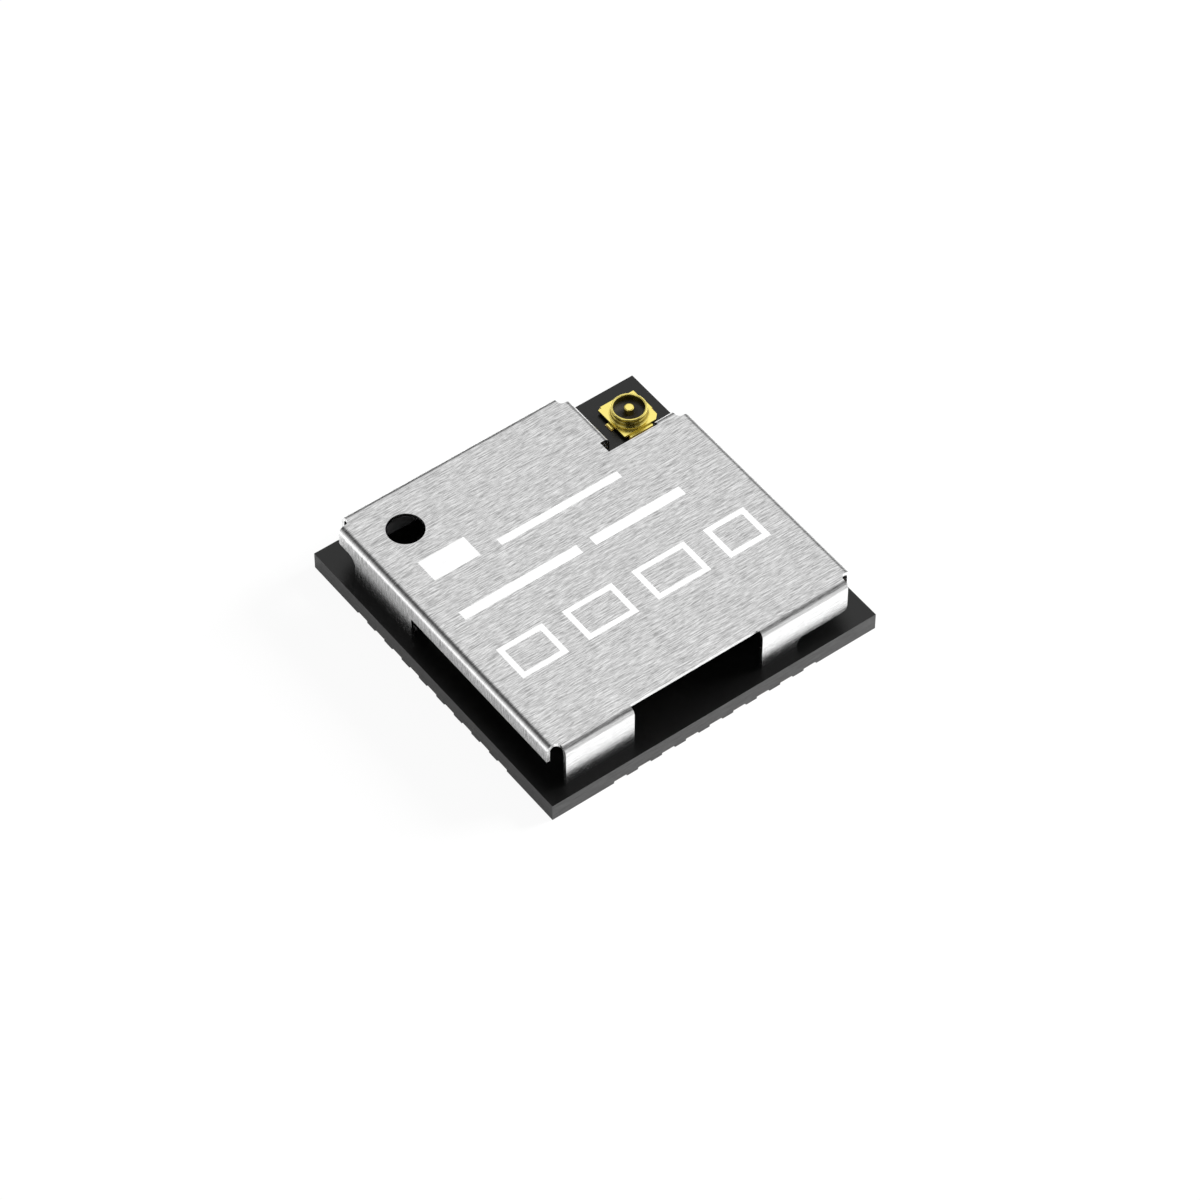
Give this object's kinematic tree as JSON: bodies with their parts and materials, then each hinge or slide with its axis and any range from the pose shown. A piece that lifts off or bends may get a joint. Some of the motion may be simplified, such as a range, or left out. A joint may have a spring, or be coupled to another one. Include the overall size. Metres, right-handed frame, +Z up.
{
  "type": "wifi module",
  "caption": "Square solder-down radio module: black circuit board, folded brushed-metal shield can with a notched corner, gold coaxial antenna connector, pads recessed round the underside.",
  "frame": {"origin": "middle of the board's underside", "axes": "+Z up out of the underside, through the shield; the antenna connector stands in the +X +Y corner"},
  "size_m": [0.015, 0.015, 0.0028],
  "materials": {
    "board_mask": "satin black solder mask over laminate",
    "gold_plating": "flat gold plating",
    "shield_steel": "bright brushed sheet",
    "solder_tin": "smooth reflowed solder",
    "connector_gold": "bright gold plating",
    "moulding_black": "matt moulding",
    "chip_moulding": "matt moulded chip",
    "lead_tin": "matt tin plating",
    "white_ceramic": "fine unglazed ceramic",
    "capacitor_ceramic": "tan fired ceramic",
    "filter_ceramic": "pale fired ceramic",
    "inductor_ceramic": "blue grey fired ceramic",
    "ferrite_grey": "dull pressed ferrite",
    "lid_metal": "satin nickel iron lid",
    "black_glaze": "glossy black glaze"
  },
  "bodies": {
    "root": {"circuit_board": "board_mask", "edge_pads": "gold_plating", "ground_pads": "gold_plating", "component_lands": "gold_plating", "shield_can": "shield_steel", "shield_lands": "gold_plating", "shield_solder": "solder_tin", "antenna_shell": "connector_gold", "antenna_insulator": "moulding_black", "antenna_contact": "connector_gold", "antenna_lands": "gold_plating", "radio_chip": "chip_moulding", "radio_leads": "lead_tin", "radio_paddle": "lead_tin", "front_end_chips": "chip_moulding", "front_end_leads": "lead_tin", "front_end_paddles": "lead_tin", "memory_chip": "chip_moulding", "memory_leads": "lead_tin", "crystal_base": "white_ceramic", "crystal_lid": "lid_metal", "crystal_terminals": "gold_plating", "band_filter": "filter_ceramic", "band_filter_terminals": "lead_tin", "power_inductors": "ferrite_grey", "power_inductor_terminals": "lead_tin", "bulk_capacitors": "capacitor_ceramic", "bulk_capacitor_terminals": "lead_tin", "capacitors": "capacitor_ceramic", "capacitor_terminals": "lead_tin", "radio_inductors": "inductor_ceramic", "radio_inductor_terminals": "lead_tin", "resistors": "white_ceramic", "resistor_terminals": "lead_tin", "resistor_glaze": "black_glaze"}
  },
  "joints": []
}
